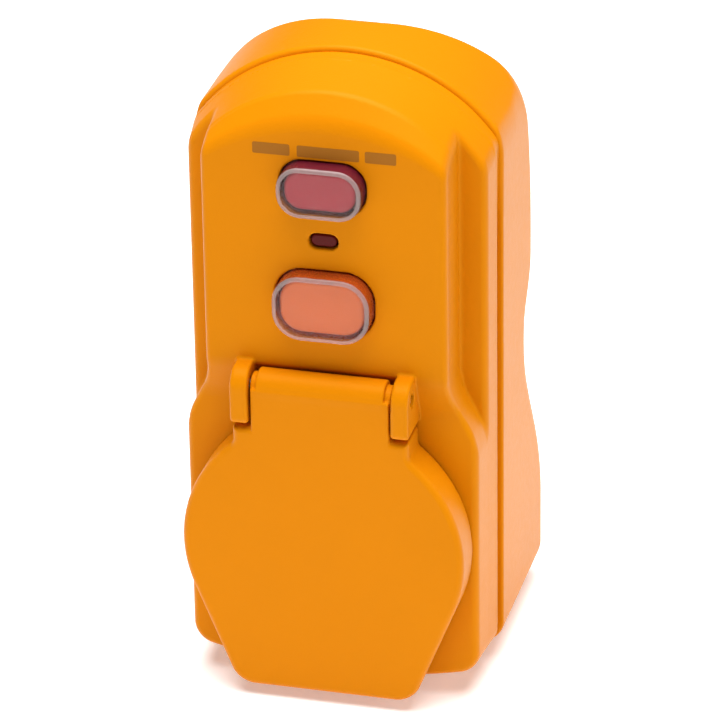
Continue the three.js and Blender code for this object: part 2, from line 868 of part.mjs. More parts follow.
// A pan-head screw whose head rests on a seat that faces +Y.
function screw({ x, z }, seat, headRadius, shankRadius, length) {
  return turned(
    [
      [0, seat - length],
      [shankRadius, seat - length + 1.2],
      [shankRadius, seat + gap],
      [headRadius, seat + gap],
      [headRadius, seat + gap + 1.4],
      [0.6 * headRadius, seat + gap + 2],
      [0, seat + gap + 2],
    ],
    { x, z, sides: 10 },
  );
}

// ---------------------------------------------------------------- finishes

const finishes = {
  shell: { color: 0xe88a18, roughness: 0.45, metalness: 0 },
  flap: { color: 0xe68716, roughness: 0.45, metalness: 0 },
  dark: { color: 0x26262a, roughness: 0.5, metalness: 0 },
  internal: { color: 0xd8d4c8, roughness: 0.6, metalness: 0 },
  brass: { color: 0xb58d3d, roughness: 0.3, metalness: 1 },
  nickel: { color: 0xc9c6bd, roughness: 0.25, metalness: 1 },
  steel: { color: 0xa4a6a8, roughness: 0.35, metalness: 1 },
  copper: { color: 0xb2602f, roughness: 0.35, metalness: 1 },
  board: { color: 0x1d5b37, roughness: 0.55, metalness: 0 },
  boot: { color: 0xc9b3b0, roughness: 0.3, metalness: 0 },
  seal: { color: 0x3a3a3c, roughness: 0.8, metalness: 0 },
  test: { color: 0xb4555c, roughness: 0.4, metalness: 0 },
  reset: { color: 0xe1794b, roughness: 0.4, metalness: 0 },
  lamp: { color: 0x6e1219, roughness: 0.2, metalness: 0 },
  parts: { color: 0x30343c, roughness: 0.5, metalness: 0 },
};

function geometryOf(body) {
  const { vertProperties, triVerts } = body.getMesh();
  const geometry = new THREE.BufferGeometry();
  geometry.setAttribute("position", new THREE.BufferAttribute(vertProperties, 3));
  geometry.setIndex(new THREE.BufferAttribute(triVerts, 1));
  geometry.computeVertexNormals();
  return geometry;
}

const model = new THREE.Group();

function add(name, finish, body) {
  const mesh = new THREE.Mesh(
    geometryOf(body),
    new THREE.MeshStandardMaterial(finishes[finish]),
  );
  mesh.name = name;
  model.add(mesh);
}

// ---------------------------------------------------------------- assembly

add("front_shell", "shell", frontShell());
add("rear_shell", "shell", rearShell());
add("body_seal", "seal", bodySeal());

add("socket_flap", "flap", socketFlap());
add("hinge_pin", "steel", hingePin());
add("flap_spring", "steel", flapSpring());
add("flap_seal", "seal", flapSeal());

add("socket_insert", "dark", socketInsert());
add("earth_clip", "nickel", earthClip());
add("plug_insert", "dark", plugInsert());
add("plug_earth_clip", "nickel", plugEarthClip());
add("earth_link", "copper", earthLink());

for (const [pole, side] of [["line", -1], ["neutral", 1]]) {
  add(`socket_contact_${pole}`, "brass", socketContact(side));
  add(`plug_pin_${pole}`, "nickel", plugPin(side));
  add(`supply_bar_${pole}`, "copper", supplyBar(side));
  add(`supply_contact_${pole}`, "brass", supplyContact(side));
  add(`load_contact_${pole}`, "brass", loadContact(side));
  add(`moving_contact_${pole}`, "copper", movingContact(side));
  add(`load_bar_${pole}`, "copper", loadBar(side));
}

add("main_board", "board", mainBoard());
add("current_transformer", "parts", currentTransformer());
add("solenoid_frame", "steel", solenoidFrame());
add("solenoid_coil", "copper", solenoidCoil());
add("trip_plunger", "steel", tripPlunger());
add("plunger_spring", "steel", plungerSpring());
add("contact_carrier", "internal", contactCarrier());
add("test_leaf", "brass", testLeaf());
add("varistor", "parts", varistor());
add("capacitor", "parts", capacitor());
add("control_chip", "parts", controlChip());
add("rectifier", "parts", rectifier());
add("dropper_resistor", "parts", dropperResistor());

add("button_guide", "internal", buttonGuide());
add("reset_button", "reset", button(reset));
add("reset_spring", "steel", buttonSpring(reset));
add("reset_boot", "boot", buttonBoot(reset));
add("test_button", "test", button(test));
add("test_spring", "steel", buttonSpring(test));
add("test_boot", "boot", buttonBoot(test));
add("indicator_lens", "lamp", indicatorLens());
add("indicator_lamp", "lamp", indicatorLamp());

caseScrews.forEach((at, i) => {
  add(`case_screw_${i + 1}`, "steel", screw(at, screwSeat, 2.8, 1.4, 14));
});
boardScrews.forEach((at, i) => {
  add(`board_screw_${i + 1}`, "steel", screw(at, board.back, 2.3, 1.0, 8));
});

export default model;
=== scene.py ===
import json
import math

import bpy
import numpy as np
from mathutils import Matrix, Vector


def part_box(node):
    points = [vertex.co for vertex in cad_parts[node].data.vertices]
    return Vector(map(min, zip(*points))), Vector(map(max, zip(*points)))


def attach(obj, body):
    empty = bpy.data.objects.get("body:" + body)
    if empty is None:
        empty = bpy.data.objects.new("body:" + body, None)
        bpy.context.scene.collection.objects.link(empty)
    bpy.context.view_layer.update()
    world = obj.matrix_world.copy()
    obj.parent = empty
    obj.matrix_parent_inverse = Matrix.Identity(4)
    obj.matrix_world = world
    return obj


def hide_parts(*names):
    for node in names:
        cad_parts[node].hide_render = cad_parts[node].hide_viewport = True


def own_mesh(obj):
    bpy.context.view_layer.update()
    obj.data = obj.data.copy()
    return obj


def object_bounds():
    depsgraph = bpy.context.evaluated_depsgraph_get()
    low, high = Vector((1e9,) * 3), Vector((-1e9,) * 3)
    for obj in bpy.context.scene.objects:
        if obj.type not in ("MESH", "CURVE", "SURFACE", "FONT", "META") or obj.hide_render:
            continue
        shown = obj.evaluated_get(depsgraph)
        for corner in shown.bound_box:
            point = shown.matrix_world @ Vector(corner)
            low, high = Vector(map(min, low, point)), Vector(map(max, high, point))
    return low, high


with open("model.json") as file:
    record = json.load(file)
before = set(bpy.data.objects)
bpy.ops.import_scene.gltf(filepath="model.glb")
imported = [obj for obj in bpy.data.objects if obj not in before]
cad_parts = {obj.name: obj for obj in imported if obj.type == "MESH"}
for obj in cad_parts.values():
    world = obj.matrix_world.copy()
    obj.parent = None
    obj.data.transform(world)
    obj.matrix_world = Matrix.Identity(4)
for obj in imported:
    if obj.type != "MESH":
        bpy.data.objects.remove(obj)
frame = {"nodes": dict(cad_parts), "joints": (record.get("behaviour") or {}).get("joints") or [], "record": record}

# Plug-in residual-current adaptor. Each visible piece is a field of distances to its surface, in
# millimetres in the row frame, turned into a fine mesh. X is right, Y into the wall and Z up.

cad_low, cad_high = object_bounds()
MM = 0.001


# ---------------------------------------------------------------- sizes and places

def box_mm(node):
    low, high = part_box(node)
    return np.array(low) / MM, np.array(high) / MM


(_, _, FRONT_FOOT), (FRONT_HALF, TONGUE_END, FRONT_APEX) = box_mm("front_shell")
(_, REAR_Y, REAR_FOOT), (REAR_HALF, WALL_Y, REAR_APEX) = box_mm("rear_shell")
(_, FLAP_FRONT, FLAP_CHIN), (FLAP_RADIUS, _, _) = box_mm("socket_flap")
_, HINGE_Y, HINGE_Z = np.array(frame["joints"][0]["pos_m"]) / MM
(_, SOCKET_FRONT, _), (SOCKET_FLANGE, SOCKET_BACK, _) = box_mm("socket_insert")
(_, PLUG_FRONT, _), (PLUG_FLANGE, PLUG_FACE, _) = box_mm("plug_insert")

WALL = 2.4  # thickness of the shells
CLEARANCE = 0.35  # around the socket and the plug
GROOVE = 2.2  # width of the groove between the shells
RIM_Y = REAR_Y - GROOVE
BOOT_PROUD = 3.5
PANEL_Y = box_mm("reset_boot")[0][1] + BOOT_PROUD  # front of the button panel
SOCKET_Y = PANEL_Y + 3.2  # front of the wide lower part
LEDGE_Y = PANEL_Y + 10.0  # ledge beside the panel
CHAMFER_Y = PANEL_Y + 4.0  # where the top's front bevel ends

# The front shell's draft: its half width, the top and radius of its arch and its foot, at four
# depths from the panel back to its rim.
STATION_Y = (PANEL_Y, CHAMFER_Y, LEDGE_Y, RIM_Y)
HALF = (FRONT_HALF - 1.2, FRONT_HALF - 0.8, FRONT_HALF - 0.5, FRONT_HALF)
APEX = (FRONT_APEX - 6.7, FRONT_APEX - 1.7, FRONT_APEX - 0.9, FRONT_APEX)
ARCH = (39.6, 32.4, 33.9, 36.3)
FOOT = (FRONT_FOOT + 1.3, FRONT_FOOT + 1.1, FRONT_FOOT + 0.6, FRONT_FOOT)
REAR_ARCH = 36.8
FOOT_RADIUS = 105.0
FOOT_CORNER = 3.5

PANEL_HALF = 23.8  # half width of the upper panel
SHOULDER_LOW, SHOULDER_HIGH = 22.4, 32.5  # heights between which the panel widens
SLOPE_LOW, SLOPE_HIGH = 28.5, 36.4  # heights between which it steps forward to the lower part
TONGUE_OUTER, TONGUE_INNER = 1.4, 2.9  # insets of the lip between the shells
GROOVE_RISE = (60.0, 86.0)  # heights between which the groove grows shallower towards the top
COLLAR = (0.55, 0.12)  # depth of the groove below and above them
GROOVE_FILLET = (0.6, 0.1)  # in the bottom of the groove
LAP = 0.7  # of the groove's band under the rear shell's rim
REAR_LIP = (0.5, 1.1)  # rounding of the rear shell's rim below and above them

EAR = 4.1  # radius of the ears about the hinge
EAR_INNER, EAR_OUTER = 14.03, 17.52
EAR_FOOT = HINGE_Z - 7.0
BARREL = 3.4  # radius of the flap's hinge barrel
BARREL_HALF = 12.6
HUB = 2.5  # radius of the bosses between the barrel and the ears
WEB_HALF = 13.6  # half width of the web from the tab to the barrel
HINGE_BORE = 1.45
SPRING_ROOM, SPRING_HALF = 2.5, 5.0  # radius and half length of the room for the flap spring

PIN_X = 9.5  # half of the pin spacing
PIN_RADIUS = 2.4
PIN_HOLE = 3.2
SOCKET_BORE, SOCKET_OUTER, SOCKET_DEPTH = 19.5, 21.5, 17.5
PLUG_RADIUS, PLUG_INNER = 18.5, 16.0

BOOT_FLANGE = 1.5
BOOT_WALL = 1.15
BOOT_BEAD_WIDTH = 0.9
LENS_Z = sum(corner[2] for corner in box_mm("indicator_lens")) / 2
LENS_HALF_X, LENS_HALF_Z = 2.9, 1.6
PRINT_Z = (81.15, 83.45)
PRINT_X = ((-13.4, -6.2), (-4.8, 7.2), (8.3, 14.3))

CASE_SCREWS = [(node, *box_mm(node)) for node in (f"case_screw_{i}" for i in range(1, 5))]
BOARD_SCREWS = [(node, *box_mm(node)) for node in (f"board_screw_{i}" for i in range(1, 3))]
CASE_BORE, BOARD_BORE = 1.75, 1.35  # radii of the holes for their shanks
CASE_BORE_FRONT, BOARD_BORE_FRONT, BORE_BACK = -64, -62, -50
CASE_POST, BOARD_POST, REAR_POST = 3.6, 2.6, 4.3  # radii of the posts that the screws go into
CASE_POST_END, BOARD_POST_END = -52.4, -52.35
HEAD_BORE, HEAD_SEAT = 3.2, -46  # radius of the holes in the back, and where they start
PLUG_HOLE_START = -50

BODY = {
    node: body
    for body, nodes in frame["record"]["behaviour"]["bodies"].items()
    for node in nodes
}
SLOT = {row["node"]: row["material_slot"] for row in frame["record"]["subparts"]}


# ---------------------------------------------------------------- fields

def length(*parts):
    return np.sqrt(sum(p * p for p in parts))


def both(a, b, r=0.0):
    """What lies in a and in b, with the edge between them rounded to radius r."""
    if np.all(np.asarray(r) <= 0):
        return np.maximum(a, b)
    u = np.maximum(a + r, 0)
    v = np.maximum(b + r, 0)
    return np.minimum(np.maximum(a, b), -r) + np.sqrt(u * u + v * v)


def either(a, b, r=0.0):
    """What lies in a or in b, with a fillet of radius r where they meet."""
    return -both(-a, -b, r)


def without(a, b, r=0.0):
    return both(a, -b, r)


def span(p, low, high):
    return np.abs(p - (low + high) / 2) - (high - low) / 2


def slab(*spans, r=0.0):
    """A block between spans, with its edges rounded."""
    whole = spans[0]
    for one in spans[1:]:
        whole = both(whole, one, r)
    return whole


def rounded_rectangle(x, z, half_x, half_z, corner):
    u = np.abs(x) - half_x + corner
    v = np.abs(z) - half_z + corner
    return length(np.maximum(u, 0), np.maximum(v, 0)) + np.minimum(np.maximum(u, v), 0) - corner


def rod(across, along, radius, low, high, r=0.0):
    return both(length(*across) - radius, span(along, low, high), r)


def dome(x, z, apex, radius):
    """Under an arch of that radius, with straight sides below its centre."""
    return length(x, np.maximum(z - apex + radius, 0)) - radius


def base(x, z, foot):
    """Above the shallow curved underside."""
    return length(x, np.minimum(z - foot - FOOT_RADIUS, 0)) - FOOT_RADIUS


# ---------------------------------------------------------------- meshes

def net(field, low, high, cell):
    """Vertices and quads of the surface where the field is 0, one vertex for each grid cell."""
    start = np.array(low) - 2.37 * cell
    axes = [np.arange(a, b + 3 * cell, cell) for a, b in zip(start, high)]
    shape = tuple(len(a) for a in axes)
    value = field(axes[0][:, None, None], axes[1][None, :, None], axes[2][None, None, :])
    value = np.broadcast_to(value, shape)
    inside = value < 0
    cells_shape = tuple(n - 1 for n in shape)
    corners = [(i, j, k) for i in (0, 1) for j in (0, 1) for k in (0, 1)]
    count = np.zeros(cells_shape, np.int8)
    for i, j, k in corners:
        count += inside[
            i : i + cells_shape[0], j : j + cells_shape[1], k : k + cells_shape[2]
        ]
    cells = np.argwhere((count > 0) & (count < 8))
    index = np.full(cells_shape, -1, np.int64)
    index[tuple(cells.T)] = np.arange(len(cells))
    at = {c: value[tuple((cells + c).T)] for c in corners}
    total = np.zeros((len(cells), 3))
    hits = np.zeros(len(cells))
    for c in corners:
        for axis in range(3):
            if c[axis] == 1:
                continue
            far = tuple(1 if a == axis else c[a] for a in range(3))
            crosses = (at[c] < 0) != (at[far] < 0)
            share = at[c] / np.where(crosses, at[c] - at[far], 1)
            point = np.array(c, float) + share[:, None] * np.eye(3)[axis]
            total += point * crosses[:, None]
            hits += crosses
    vertices = start + cell * (cells + total / hits[:, None])
    quads = []
    for axis in range(3):
        near_side = np.take(inside, range(shape[axis] - 1), axis)
        far_side = np.take(inside, range(1, shape[axis]), axis)
        edges = np.argwhere(near_side != far_side)
        leaves = near_side[tuple(edges.T)]
        u = np.eye(3, dtype=int)[(axis + 1) % 3]
        v = np.eye(3, dtype=int)[(axis + 2) % 3]
        ring = np.stack([index[tuple((edges - s).T)] for s in (0 * u, u, u + v, v)], 1)
        ring[~leaves] = ring[~leaves][:, ::-1]
        quads.append(ring)
    return vertices, np.concatenate(quads)


def slope_of(field, points):
    """The field and its slope at points."""
    step = 1e-3
    x, y, z = points.T
    value = field(x, y, z)
    slope = np.stack(
        [
            field(x + step, y, z) - value,
            field(x, y + step, z) - value,
            field(x, y, z + step) - value,
        ],
        1,
    )
    return value, slope / step


def settle(field, points, cell):
    """Points moved onto the surface, and the surface's normals there."""
    for _ in range(4):
        value, slope = slope_of(field, points)
        size = np.maximum((slope**2).sum(1), 0.05)
        move = slope * (value / size)[:, None]
        reach = np.maximum(np.linalg.norm(move, axis=1), 1e-9)
        points = points - move * np.minimum(1, 0.5 * cell / reach)[:, None]
    _, slope = slope_of(field, points)
    return points, slope / np.maximum(np.linalg.norm(slope, axis=1), 1e-9)[:, None]


def place(mesh, name):
    piece = bpy.data.objects.new(name, mesh)
    bpy.context.scene.collection.objects.link(piece)
    return piece


def evaluated(piece):
    """The piece's mesh with its modifiers applied."""
    graph = bpy.context.evaluated_depsgraph_get()
    mesh = bpy.data.meshes.new_from_object(piece.evaluated_get(graph))
    piece.modifiers.clear()
    piece.data = mesh
    return mesh


def points_of(mesh):
    flat = np.zeros(len(mesh.vertices) * 3)
    mesh.vertices.foreach_get("co", flat)
    return flat.reshape(-1, 3) / MM


def sculpt(name, field, low, high, cell, keep=1.0):
    """A piece whose surface is the field's, keeping that share of the faces."""
    vertices, quads = net(field, low, high, cell)
    vertices, _ = settle(field, vertices, cell)
    mesh = bpy.data.meshes.new(name)
    mesh.vertices.add(len(vertices))
    mesh.vertices.foreach_set("co", (vertices * MM).ravel())
    mesh.loops.add(4 * len(quads))
    mesh.loops.foreach_set("vertex_index", quads.ravel().astype(np.int32))
    mesh.polygons.add(len(quads))
    mesh.polygons.foreach_set("loop_start", np.arange(0, 4 * len(quads), 4, dtype=np.int32))
    mesh.update(calc_edges=True)
    mesh.validate()
    piece = place(mesh, name)
    if keep < 1:
        thin = piece.modifiers.new("thin", "DECIMATE")
        thin.ratio = keep
        mesh = evaluated(piece)
    points, normals = settle(field, points_of(mesh), cell)
    mesh.vertices.foreach_set("co", (points * MM).ravel())
    mesh.polygons.foreach_set("use_smooth", np.ones(len(mesh.polygons), bool))
    mesh.update()
    mesh.normals_split_custom_set_from_vertices(normals.tolist())
    return piece


def finished(piece, node):
    """The piece in a CAD node's place, on the same body and with the same finish."""
    piece.data.materials.clear()
    piece.data.materials.append(FINISH[SLOT[node]])
    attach(piece, BODY[node])
    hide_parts(node)
    return piece


def stand_in(name, node, field, cell, keep=1.0):
    """A sculpted piece in a CAD node's place."""
    low, high = box_mm(node)
    return finished(sculpt(name, field, low, high, cell, keep), node)


def sweep(name, path, out, radius, sides=12):
    """A round wire along a path, with rounded ends. out points away from the path's inside."""
    tangent = np.gradient(path, axis=0)
    tangent /= np.linalg.norm(tangent, axis=1)[:, None]
    over = np.cross(tangent, out)
    over /= np.linalg.norm(over, axis=1)[:, None]
    out = np.cross(over, tangent)
    angle = np.linspace(0, 2 * np.pi, sides, endpoint=False)[:, None]

    def ring(i, lean):
        centre = path[i] + tangent[i] * radius * math.sin(lean)
        return centre + radius * math.cos(lean) * (np.cos(angle) * out[i] + np.sin(angle) * over[i])

    leans = [math.radians(a) for a in (25, 50, 78)]
    rings = [ring(0, -a) for a in reversed(leans)]
    rings += [ring(i, 0) for i in range(len(path))]
    rings += [ring(-1, a) for a in leans]
    faces = [list(range(sides))[::-1]]
    for i in range(len(rings) - 1):
        for k in range(sides):
            a, b = i * sides + k, i * sides + (k + 1) % sides
            faces.append([a, b, b + sides, a + sides])
    faces.append([(len(rings) - 1) * sides + k for k in range(sides)])
    mesh = bpy.data.meshes.new(name)
    mesh.from_pydata((np.concatenate(rings) * MM).tolist(), [], faces)
    mesh.polygons.foreach_set("use_smooth", np.ones(len(faces), bool))
    return place(mesh, name)


def spring(name, node, axis, wire, turns):
    """A coil spring in the node's place, its end turns closed, as one round wire."""
    low, high = box_mm(node)
    across, over = (axis + 1) % 3, (axis + 2) % 3
    radius = (high[across] - low[across]) / 2 - wire
    turn = np.linspace(0, turns, 28 * turns + 1)
    stretch = high[axis] - low[axis] - 2 * wire
    closed = 2 * wire
    rise = np.interp(turn, [0, 1, turns - 1, turns], [0, closed, stretch - closed, stretch])
    out = np.zeros((len(turn), 3))
    out[:, across] = np.cos(2 * np.pi * turn)
    out[:, over] = np.sin(2 * np.pi * turn)
    path = (low + high) / 2 + radius * out
    path[:, axis] = low[axis] + wire + rise
    return finished(sweep(name, path, out, wire), node)


# ---------------------------------------------------------------- materials

def shader(name):
    material = bpy.data.materials.new(name)
    material.use_nodes = True
    nodes = material.node_tree.nodes
    return material, material.node_tree, nodes["Principled BSDF"]


def noise(tree, scale, detail=2.0, stretch=(1, 1, 1)):
    """Noise fixed to the object, with that many waves per metre."""
    place_node = tree.nodes.new("ShaderNodeTexCoord")
    mapping = tree.nodes.new("ShaderNodeMapping")
    mapping.inputs["Scale"].default_value = stretch
    texture = tree.nodes.new("ShaderNodeTexNoise")
    texture.inputs["Scale"].default_value = scale
    texture.inputs["Detail"].default_value = detail
    tree.links.new(place_node.outputs["Object"], mapping.inputs["Vector"])
    tree.links.new(mapping.outputs["Vector"], texture.inputs["Vector"])
    return texture.outputs["Fac"]


def ranged(tree, source, low, high):
    """Noise spread over the range from low to high."""
    node = tree.nodes.new("ShaderNodeMapRange")
    node.inputs["From Min"].default_value = 0.3
    node.inputs["From Max"].default_value = 0.7
    node.inputs["To Min"].default_value = low
    node.inputs["To Max"].default_value = high
    tree.links.new(source, node.inputs["Value"])
    return node.outputs["Result"]


def tinted(tree, source, dark, light):
    node = tree.nodes.new("ShaderNodeMix")
    node.data_type = "RGBA"
    node.inputs["A"].default_value = (*dark, 1)
    node.inputs["B"].default_value = (*light, 1)
    tree.links.new(source, node.inputs["Factor"])
    return node.outputs["Result"]


def bumped(tree, principled, source, height):
    node = tree.nodes.new("ShaderNodeBump")
    node.inputs["Distance"].default_value = height
    tree.links.new(source, node.inputs["Height"])
    tree.links.new(node.outputs["Normal"], principled.inputs["Normal"])


def moulded(name, colour, roughness, grain=0.03, waves=2600, spread=0.015, ior=1.42, gleam=None):
    """Moulded plastic or rubber: a fine grain, faint flow marks and slightly uneven gloss."""
    material, tree, principled = shader(name)
    flow = ranged(tree, noise(tree, 45, 3), 0, 1)
    dark = [c * (1 - spread) for c in colour]
    light = [min(1, c * (1 + spread)) for c in colour]
    tree.links.new(tinted(tree, flow, dark, light), principled.inputs["Base Color"])
    gloss = ranged(tree, noise(tree, 700, 3), roughness - 0.02, roughness + 0.02)
    tree.links.new(gloss, principled.inputs["Roughness"])
    principled.inputs["IOR"].default_value = ior
    principled.inputs["Specular Tint"].default_value = (*(gleam or (1, 1, 1)), 1)
    bumped(tree, principled, noise(tree, waves, 2), grain * MM)
    return material


def metal(name, colour, roughness, stretch=(1, 1, 1)):
    """Drawn, stamped or plated metal: fine streaks and uneven gloss."""
    material, tree, principled = shader(name)
    principled.inputs["Metallic"].default_value = 1
    streak = noise(tree, 900, 4, stretch)
    dark = [c * 0.86 for c in colour]
    tree.links.new(
        tinted(tree, ranged(tree, streak, 0, 1), dark, colour), principled.inputs["Base Color"]
    )
    gloss = ranged(tree, streak, roughness - 0.08, roughness + 0.1)
    tree.links.new(gloss, principled.inputs["Roughness"])
    bumped(tree, principled, streak, 0.002 * MM)
    return material


def silicone(name, colour, alpha):
    """Milky clear silicone."""
    material, tree, principled = shader(name)
    cloud = ranged(tree, noise(tree, 300, 2), 0, 1)
    pale = [min(1, c * 1.06) for c in colour]
    tree.links.new(tinted(tree, cloud, colour, pale), principled.inputs["Base Color"])
    gloss = ranged(tree, noise(tree, 900, 2), 0.2, 0.3)
    tree.links.new(gloss, principled.inputs["Roughness"])
    principled.inputs["Alpha"].default_value = alpha
    bumped(tree, principled, noise(tree, 1500, 2), 0.01 * MM)
    return material


ORANGE_GLEAM = (1, 0.45, 0.08)
FINISH = {
    "case_plastic": moulded(
        "case_plastic", (0.635, 0.203, 0.001), 0.42, ior=1.3, gleam=ORANGE_GLEAM
    ),
    "flap_plastic": moulded(
        "flap_plastic", (0.635, 0.200, 0.001), 0.44, ior=1.3, gleam=ORANGE_GLEAM
    ),
    "insert_plastic": moulded("insert_plastic", (0.018, 0.018, 0.02), 0.42),
    "inner_plastic": moulded("inner_plastic", (0.62, 0.57, 0.47), 0.5),
    "test_plastic": moulded("test_plastic", (0.42, 0.012, 0.022), 0.4, ior=1.2),
    "reset_plastic": moulded("reset_plastic", (0.74, 0.135, 0.005), 0.4, ior=1.2),
    "lens_plastic": moulded("lens_plastic", (0.10, 0.005, 0.004), 0.25, grain=0.004, ior=1.2),
    "boot_silicone": silicone("boot_silicone", (0.40, 0.33, 0.33), 0.10),
    "seal_rubber": moulded("seal_rubber", (0.035, 0.035, 0.037), 0.7, grain=0.02),
    "contact_brass": metal("contact_brass", (0.62, 0.43, 0.15), 0.3),
    "conductor_copper": metal("conductor_copper", (0.66, 0.28, 0.13), 0.35),
    "pin_nickel": metal("pin_nickel", (0.68, 0.66, 0.61), 0.26, stretch=(1, 0.12, 1)),
    "spring_steel": metal("spring_steel", (0.52, 0.52, 0.53), 0.32),
    "board_laminate": moulded("board_laminate", (0.018, 0.11, 0.045), 0.4, waves=1500),
    "component_body": moulded("component_body", (0.03, 0.035, 0.05), 0.45),
}
# Painted highlight: the bead round a boot's front is paler and more opaque than the clear skin.
BOOT_BEAD_HIGHLIGHT = silicone("boot_bead_highlight", (0.46, 0.34, 0.32), 0.5)
# The clear walls are painted with the colour of the button inside them, darkened as painted shade of the gap
# behind them.
BOOT_WALLS_PAINTED_SHADE = {
    "test": silicone("test_boot_wall_painted_shade", (0.16, 0.012, 0.028), 0.6),
    "reset": silicone("reset_boot_wall_painted_shade", (0.52, 0.085, 0.012), 0.6),
}
PRINT = moulded("print_ink", (0.33, 0.115, 0.006), 0.5, grain=0.01, ior=1.2)


# ---------------------------------------------------------------- shells

def front_outline(x, y, z):
    """The front shell seen from the front, at depth y."""
    apex = np.interp(y, STATION_Y[1:], APEX[1:])
    radius = np.interp(y, STATION_Y[1:], ARCH[1:])
    roof = dome(x, z, apex, radius)
    depth = CHAMFER_Y - PANEL_Y
    rise = (APEX[1] - APEX[0]) / depth
    tighten = (ARCH[1] - ARCH[0]) / depth
    bevel_radius = np.interp(y, STATION_Y[:2], ARCH[:2])
    bevel_apex = APEX[0] + rise * (y - PANEL_Y)
    up = np.maximum(z - bevel_apex + bevel_radius, 0)
    reach = length(x, up)
    upright = up / np.maximum(reach, 1e-6)
    lean = -upright * (rise - tighten) - tighten
    bevel = (reach - bevel_radius) / np.sqrt(1 + lean * lean)
    outline = both(roof, bevel, 0.5)
    outline = both(outline, np.abs(x) - np.interp(y, STATION_Y, HALF), 1.0)
    return both(outline, base(x, z, np.interp(y, STATION_Y, FOOT)), FOOT_CORNER)


def front_body(x, y, z):
    """The front shell's outer form as a solid, open backwards."""
    panel = PANEL_Y - y
    run, fall = SOCKET_Y - PANEL_Y, SLOPE_HIGH - SLOPE_LOW
    size = math.hypot(run, fall)
    slope = -(fall * (y - PANEL_Y) + run * (z - SLOPE_HIGH)) / size
    face = either(both(panel, slope, 0.5), SOCKET_Y - y, 0.6)
    out, drop = HALF[1] - PANEL_HALF, SHOULDER_HIGH - SHOULDER_LOW
    size = math.hypot(out, drop)
    side = np.abs(x) - PANEL_HALF
    shoulder = (side * drop + (z - SHOULDER_HIGH) * out) / size
    block = both(face, either(side, shoulder, 1.5), 1.1)
    return both(either(block, LEDGE_Y - y, 0.7), front_outline(x, y, z), 1.3)


def rim_outline(x, z, inset):
    """The front shell's outline at its rim, made smaller by an inset."""
    outline = both(dome(x, z, FRONT_APEX, ARCH[3]), np.abs(x) - FRONT_HALF, 1.0)
    return both(outline, base(x, z, FRONT_FOOT), FOOT_CORNER) + inset


def button_outline(x, z, button, grow=0.0):
    z_centre, half_x, half_z, corner = button
    return rounded_rectangle(x, z - z_centre, half_x + grow, half_z + grow, corner + grow)


def button_sizes(node, corner):
    """Centre height, half width, half height and corner radius of a boot above its flange."""
    low, high = box_mm(node)
    half_z = (high[2] - low[2]) / 2 - BOOT_FLANGE
    return ((low[2] + high[2]) / 2, high[0] - BOOT_FLANGE, half_z, corner)


RESET = button_sizes("reset_boot", 5.6)
TEST = button_sizes("test_boot", 4.6)


def from_axis(x, z, low, high):
    """How far x and z are from the middle of a box."""
    return x - (low[0] + high[0]) / 2, z - (low[2] + high[2]) / 2


def front_shell(x, y, z):
    ax = np.abs(x)
    outer = front_body(x, y, z)
    shell = both(outer, -(outer + WALL), 0.2)
    shell = both(shell, y - RIM_Y, 0.45)
    tongue = np.abs(rim_outline(x, z, (TONGUE_OUTER + TONGUE_INNER) / 2))
    tongue = tongue - (TONGUE_INNER - TONGUE_OUTER) / 2
    shell = either(shell, both(tongue, span(y, RIM_Y - 1.2, TONGUE_END), 0.25), 0.2)
    inset = np.interp(z, GROOVE_RISE, COLLAR)
    collar = np.abs(rim_outline(x, z, (inset + TONGUE_INNER) / 2)) - (TONGUE_INNER - inset) / 2
    fillet = np.interp(z, GROOVE_RISE, GROOVE_FILLET)
    shell = either(shell, both(collar, span(y, RIM_Y - 1.2, REAR_Y + LAP), 0.1), fillet)
    ear = both(both(HINGE_Y - EAR - y, z - HINGE_Z - EAR, EAR), EAR_FOOT - z, 1.2)
    ear = both(both(ear, y - SOCKET_Y - 1), span(ax, EAR_INNER, EAR_OUTER), 0.55)
    shell = either(shell, ear, 0.4)
    for _, low, high in CASE_SCREWS:
        across = from_axis(x, z, low, high)
        front = (SOCKET_Y if high[2] < 0 else LEDGE_Y) + 1
        shell = either(shell, rod(across, y, CASE_POST, front, CASE_POST_END, 0.2), 0.3)
        shell = without(shell, rod(across, y, CASE_BORE, CASE_BORE_FRONT, BORE_BACK))
    for _, low, high in BOARD_SCREWS:
        across = from_axis(x, z, low, high)
        shell = either(shell, rod(across, y, BOARD_POST, PANEL_Y + 1, BOARD_POST_END, 0.2), 0.3)
        shell = without(shell, rod(across, y, BOARD_BORE, BOARD_BORE_FRONT, BORE_BACK))
    knuckle = both(length(y - HINGE_Y, z - HINGE_Z) - BARREL - 0.5, ax - EAR_INNER)
    shell = without(shell, knuckle, 0.25)
    shell = without(shell, length(y - HINGE_Y, z - HINGE_Z) - HINGE_BORE, 0.2)
    front = y - PANEL_Y - WALL - 1
    for button in (RESET, TEST):
        shell = without(shell, both(button_outline(x, z, button, 0.3), front), 0.35)
    slot = rounded_rectangle(x, z - LENS_Z, LENS_HALF_X, LENS_HALF_Z, LENS_HALF_Z)
    shell = without(shell, both(slot, front), 0.3)
    recess = both(length(x, z) - SOCKET_OUTER - CLEARANCE, y - SOCKET_Y - WALL - 1)
    return without(shell, recess, 0.3)


def bezier(points, steps=24):
    t = np.linspace(0, 1, steps)[:, None]
    a, b, c, d = (np.array(p, float) for p in points)
    return (1 - t) ** 3 * a + 3 * (1 - t) ** 2 * t * b + 3 * (1 - t) * t**2 * c + t**3 * d


UPPER_BACK = WALL_Y - 9.7
WAIST_Y, WAIST_Z = WALL_Y - 16, 28.0
WAIST_LOW, WAIST_HIGH = (WALL_Y - 14.2, 21), (WALL_Y - 14.4, 33)
TOP_Y, TOP_Z = WALL_Y - 28.9, 49.0  # the depth and height of the centre of the back's top curve
